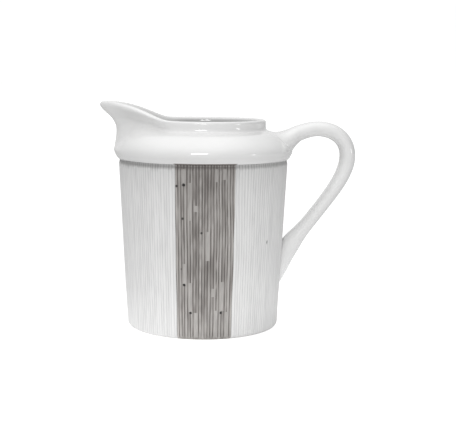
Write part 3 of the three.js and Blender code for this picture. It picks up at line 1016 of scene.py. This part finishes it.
def bare_porcelain():
    """Unglazed, slightly warm and chalky."""
    material, nodes, links, shader = new_material("bare_porcelain")
    speckle = add_noise(nodes, links, 900, 3)
    chalk = add_ramp(nodes, links, speckle.outputs["Fac"], [
        (0.3, (0.66, 0.64, 0.60)), (0.7, (0.76, 0.74, 0.70)),
    ])
    links.new(chalk.outputs["Color"], shader.inputs["Base Color"])
    shader.inputs["Roughness"].default_value = 0.85
    add_bump(nodes, links, speckle.outputs["Fac"], 0.2, 0.0002, shader)
    return material


def stage_white():
    """Matt white that glows close to the jug, as a light table does, and is burnt out for the camera."""
    material, nodes, links, shader = new_material("stage_white")
    shader.inputs["Base Color"].default_value = (0.58, 0.58, 0.58, 1)
    shader.inputs["Roughness"].default_value = 0.9
    shader.inputs["Specular IOR Level"].default_value = 0.0
    place = nodes.new("ShaderNodeTexCoord")
    distance = nodes.new("ShaderNodeVectorMath")
    distance.operation = "LENGTH"
    links.new(place.outputs["Object"], distance.inputs[0])
    fade = nodes.new("ShaderNodeMapRange")
    fade.inputs["From Max"].default_value = FLOOR_GLOW_REACH
    links.new(distance.outputs["Value"], fade.inputs["Value"])
    local = add_ramp(nodes, links, fade.outputs["Result"], grey_stops(FLOOR_GLOW))
    ray = nodes.new("ShaderNodeLightPath")
    glow = nodes.new("ShaderNodeMath")
    glow.operation = "MULTIPLY_ADD"
    links.new(ray.outputs["Is Camera Ray"], glow.inputs[0])
    glow.inputs[1].default_value = FLOOR_BURN_OUT
    links.new(local.outputs["Color"], glow.inputs[2])
    shader.inputs["Emission Color"].default_value = (1, 1, 1, 1)
    links.new(glow.outputs["Value"], shader.inputs["Emission Strength"])
    return material


# ---- Stage, light and camera -------------------------------------------------------------------------

SKY_STRENGTH = 1.65          # straight overhead
SKY_SHARE = [(0.0, 0.47), (0.5, 0.49), (0.75, 0.61), (1.0, 1.0)]
SIDE_SHARE = [(0.0, 0.7), (0.35, 1.0), (0.6, 1.0), (1.0, 0.25)]     # from the spout's side to the handle's
STAGE_HALF_WIDTH = 6.0       # metres
FLOOR_GLOW_REACH = 0.1       # metres from the frame's origin
FLOOR_GLOW = [(0.0, 0.1), (0.3, 0.25), (0.5, 0.7), (1.0, 0.0)]      # over the reach, little under the jug
FLOOR_BURN_OUT = 0.65        # added where the camera sees the floor
BACKDROP_WHITE = 1.02
LIGHTS_AIM_Z = 75            # the softboxes face the shoulder

CAMERA_DISTANCE = 465.0      # from the barrel's axis
CAMERA_HEIGHT = 107.5
CAMERA_TURN = 1.4            # degrees towards the spout from square on to the band
CAMERA_AIM = (10.53, 44.1)   # beside the axis, and above the ground
CAMERA_ROLL = 0.0095         # radians
CAMERA_LENS = 88.0
SENSOR_WIDTH = 36.0


def towards(azimuth, elevation, distance):
    """A point in millimetres about the barrel's axis: azimuth is to the right of the camera's side."""
    turn = math.radians(azimuth)
    rise = math.radians(elevation)
    flat = distance * math.cos(rise)
    return Vector((flat * math.sin(turn), -flat * math.cos(turn), distance * math.sin(rise)))


def add_camera():
    turn = math.radians(CAMERA_TURN)
    eye = Vector((-CAMERA_DISTANCE * math.sin(turn), -CAMERA_DISTANCE * math.cos(turn), CAMERA_HEIGHT))
    aim = Vector((CAMERA_AIM[0] * math.cos(turn), -CAMERA_AIM[0] * math.sin(turn), CAMERA_AIM[1]))
    forward = (aim - eye).normalized()
    right = forward.cross(Vector((0, 0, 1))).normalized()
    up = right.cross(forward)
    rolled_right = right * math.cos(CAMERA_ROLL) + up * math.sin(CAMERA_ROLL)
    rolled_up = up * math.cos(CAMERA_ROLL) - right * math.sin(CAMERA_ROLL)
    basis = Matrix((rolled_right, rolled_up, -forward)).transposed().to_4x4()
    basis.translation = (eye + Vector((AXIS_X, 0, 0))) * MM
    data = bpy.data.cameras.new("camera")
    data.lens = CAMERA_LENS
    data.sensor_width = SENSOR_WIDTH
    camera = bpy.data.objects.new("camera", data)
    camera.matrix_world = basis
    bpy.context.scene.collection.objects.link(camera)
    bpy.context.scene.camera = camera


def add_softbox(name, azimuth, elevation, distance, size, radiance):
    """An area light facing the shoulder. Radiance is what a mirror would show of it."""
    target = Vector((0, 0, LIGHTS_AIM_Z))
    place = target + towards(azimuth, elevation, distance)
    data = bpy.data.lights.new(name, "AREA")
    data.shape = "RECTANGLE"
    data.size = size[0] * MM
    data.size_y = size[1] * MM
    data.energy = radiance * math.pi * data.size * data.size_y
    light = bpy.data.objects.new(name, data)
    light.rotation_mode = "QUATERNION"
    light.rotation_quaternion = (place - target).to_track_quat("Z", "Y")
    light.location = (place + Vector((AXIS_X, 0, 0))) * MM
    bpy.context.scene.collection.objects.link(light)


def add_stage():
    half = STAGE_HALF_WIDTH
    mesh = bpy.data.meshes.new("stage_floor")
    corners = [(-half, -half, 0), (half, -half, 0), (half, half, 0), (-half, half, 0)]
    mesh.from_pydata(corners, [], [(0, 1, 2, 3)])
    mesh.materials.append(stage_white())
    floor = bpy.data.objects.new("stage_floor", mesh)
    bpy.context.scene.collection.objects.link(floor)


def add_world():
    """Soft light that is brighter overhead than at the sides, seen by the camera as plain white."""
    world = bpy.data.worlds.new("studio")
    world.use_nodes = True
    nodes = world.node_tree.nodes
    links = world.node_tree.links
    background = nodes["Background"]
    place = nodes.new("ShaderNodeTexCoord")
    split = nodes.new("ShaderNodeSeparateXYZ")
    links.new(place.outputs["Generated"], split.inputs["Vector"])
    sky = add_ramp(nodes, links, split.outputs["Z"], grey_stops(SKY_SHARE))
    across = nodes.new("ShaderNodeMapRange")
    across.inputs["From Min"].default_value = -1.0
    links.new(split.outputs["X"], across.inputs["Value"])
    sides = add_ramp(nodes, links, across.outputs["Result"], grey_stops(SIDE_SHARE))
    light = add_mix(nodes, links, 1.0, sky.outputs["Color"], sides.outputs["Color"], "MULTIPLY")
    links.new(light, background.inputs["Color"])
    background.inputs["Strength"].default_value = SKY_STRENGTH
    white = nodes.new("ShaderNodeBackground")
    white.inputs["Color"].default_value = (1, 1, 1, 1)
    white.inputs["Strength"].default_value = BACKDROP_WHITE
    ray = nodes.new("ShaderNodeLightPath")
    choice = nodes.new("ShaderNodeMixShader")
    links.new(ray.outputs["Is Camera Ray"], choice.inputs["Fac"])
    links.new(background.outputs["Background"], choice.inputs[1])
    links.new(white.outputs["Background"], choice.inputs[2])
    links.new(choice.outputs["Shader"], nodes["World Output"].inputs["Surface"])
    bpy.context.scene.world = world


def set_looks():
    bpy.context.scene.view_settings.view_transform = "Standard"


# ---- Build -------------------------------------------------------------------------------------------

glaze = glazed_porcelain()
band = grey_band()
build_wall(ribbed_porcelain())
build_band("grey_front_band", -1, band, "front_band")
build_band("grey_back_band", 1, band, "back_band")
build_shell(glaze, collar_porcelain())
build_handle(glaze)
build_foot(bare_porcelain())
build_floor_disc(glaze)

add_camera()
add_world()
add_softbox("key_softbox", -6, 24, 900, (310, 240), 7.0)
add_softbox("right_window", 63, 4, 900, (130, 110), 5.0)
add_stage()
set_looks()


def corners(bounds):
    return [[float(value) for value in corner] for corner in bounds]
